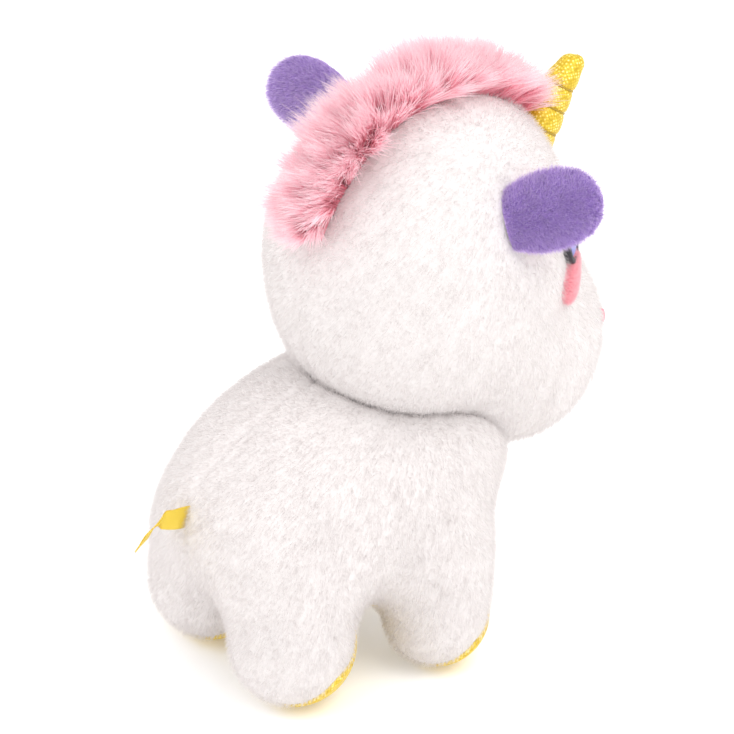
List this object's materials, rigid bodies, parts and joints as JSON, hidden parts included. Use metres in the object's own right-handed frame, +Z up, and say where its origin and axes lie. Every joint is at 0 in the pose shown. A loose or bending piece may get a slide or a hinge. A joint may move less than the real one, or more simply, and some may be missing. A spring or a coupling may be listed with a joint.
{
  "type": "plush unicorn",
  "caption": "Standing plush unicorn with a big round head, furry mane strip, soft horn, flap ears, gold toe caps and a short ribbon tail.",
  "frame": {"origin": "on the floor, under the middle of the toy's overall box", "axes": "+Z up, -Y the way the animal faces, +X its own left side"},
  "size_m": [0.146, 0.1905, 0.2075],
  "materials": {
    "white_plush": "short white plush pile",
    "polyester_fill": "loose polyester fill",
    "gold_knit": "metallic gold knit",
    "pink_backing": "woven backing",
    "pink_pile": "long soft pile",
    "black_thread": "satin embroidery",
    "blue_thread": "satin embroidery",
    "pink_plush": "short pile",
    "pink_thread": "satin embroidery",
    "purple_plush": "short purple pile",
    "pink_foil_fabric": "foil-dotted fabric",
    "gold_thread": "metallic thread",
    "gold_ribbon": "metallic woven ribbon"
  },
  "bodies": {
    "torso": {"body_panel_left": "white_plush", "body_panel_right": "white_plush", "belly_gusset": "white_plush", "body_stuffing": "polyester_fill", "toe_cap_front_left": "gold_knit", "toe_cap_front_right": "gold_knit", "toe_cap_hind_left": "gold_knit", "toe_cap_hind_right": "gold_knit"},
    "neck": {"neck_pad": "polyester_fill"},
    "head": {"head_panel_left": "white_plush", "head_panel_right": "white_plush", "muzzle_panel": "white_plush", "head_stuffing": "polyester_fill", "mane_backing": "pink_backing", "mane_pile": "pink_pile", "mouth_stitch": "black_thread", "eye_outline_left": "black_thread", "eye_iris_left": "blue_thread", "cheek_left": "pink_plush", "nostril_left": "pink_thread", "eye_outline_right": "black_thread", "eye_iris_right": "blue_thread", "cheek_right": "pink_plush", "nostril_right": "pink_thread"},
    "horn": {"horn_cover": "gold_knit", "horn_stuffing": "polyester_fill", "horn_wrap_1": "gold_thread", "horn_wrap_2": "gold_thread", "horn_wrap_3": "gold_thread"},
    "ear_left": {"ear_back_left": "purple_plush", "ear_liner_left": "pink_foil_fabric"},
    "ear_right": {"ear_back_right": "purple_plush", "ear_liner_right": "pink_foil_fabric"},
    "tail": {"tail_ribbon": "gold_ribbon"}
  },
  "joints": [
    {"name": "neck_turn", "type": "hinge", "parent": "torso", "child": "neck", "pos_m": [0, -0.0195, 0.139], "axis": [0, 0, 1], "range_deg": [-10, 10], "stiffness_Nm_per_rad": 0.25},
    {"name": "head_nod", "type": "hinge", "parent": "neck", "child": "head", "pos_m": [0, -0.0195, 0.139], "axis": [1, 0, 0], "range_deg": [-6, 5], "stiffness_Nm_per_rad": 0.6},
    {"name": "horn_bend", "type": "hinge", "parent": "head", "child": "horn", "pos_m": [0, -0.06612, 0.17326], "axis": [1, 0, 0], "range_deg": [-10, 10], "stiffness_Nm_per_rad": 0.05},
    {"name": "ear_left_flap", "type": "hinge", "parent": "head", "child": "ear_left", "pos_m": [0.04769, -0.02248, 0.17258], "axis": [0.4482, 0.0595, -0.892], "range_deg": [-20, 20], "stiffness_Nm_per_rad": 0.02},
    {"name": "ear_right_flap", "type": "hinge", "parent": "head", "child": "ear_right", "pos_m": [-0.04769, -0.02248, 0.17258], "axis": [-0.5569, 0.1226, -0.8215], "range_deg": [-20, 20], "stiffness_Nm_per_rad": 0.02},
    {"name": "tail_swing", "type": "hinge", "parent": "torso", "child": "tail", "pos_m": [0, 0.0795, 0.068], "axis": [1, 0, 0], "range_deg": [-20, 20], "stiffness_Nm_per_rad": 0.002}
  ]
}
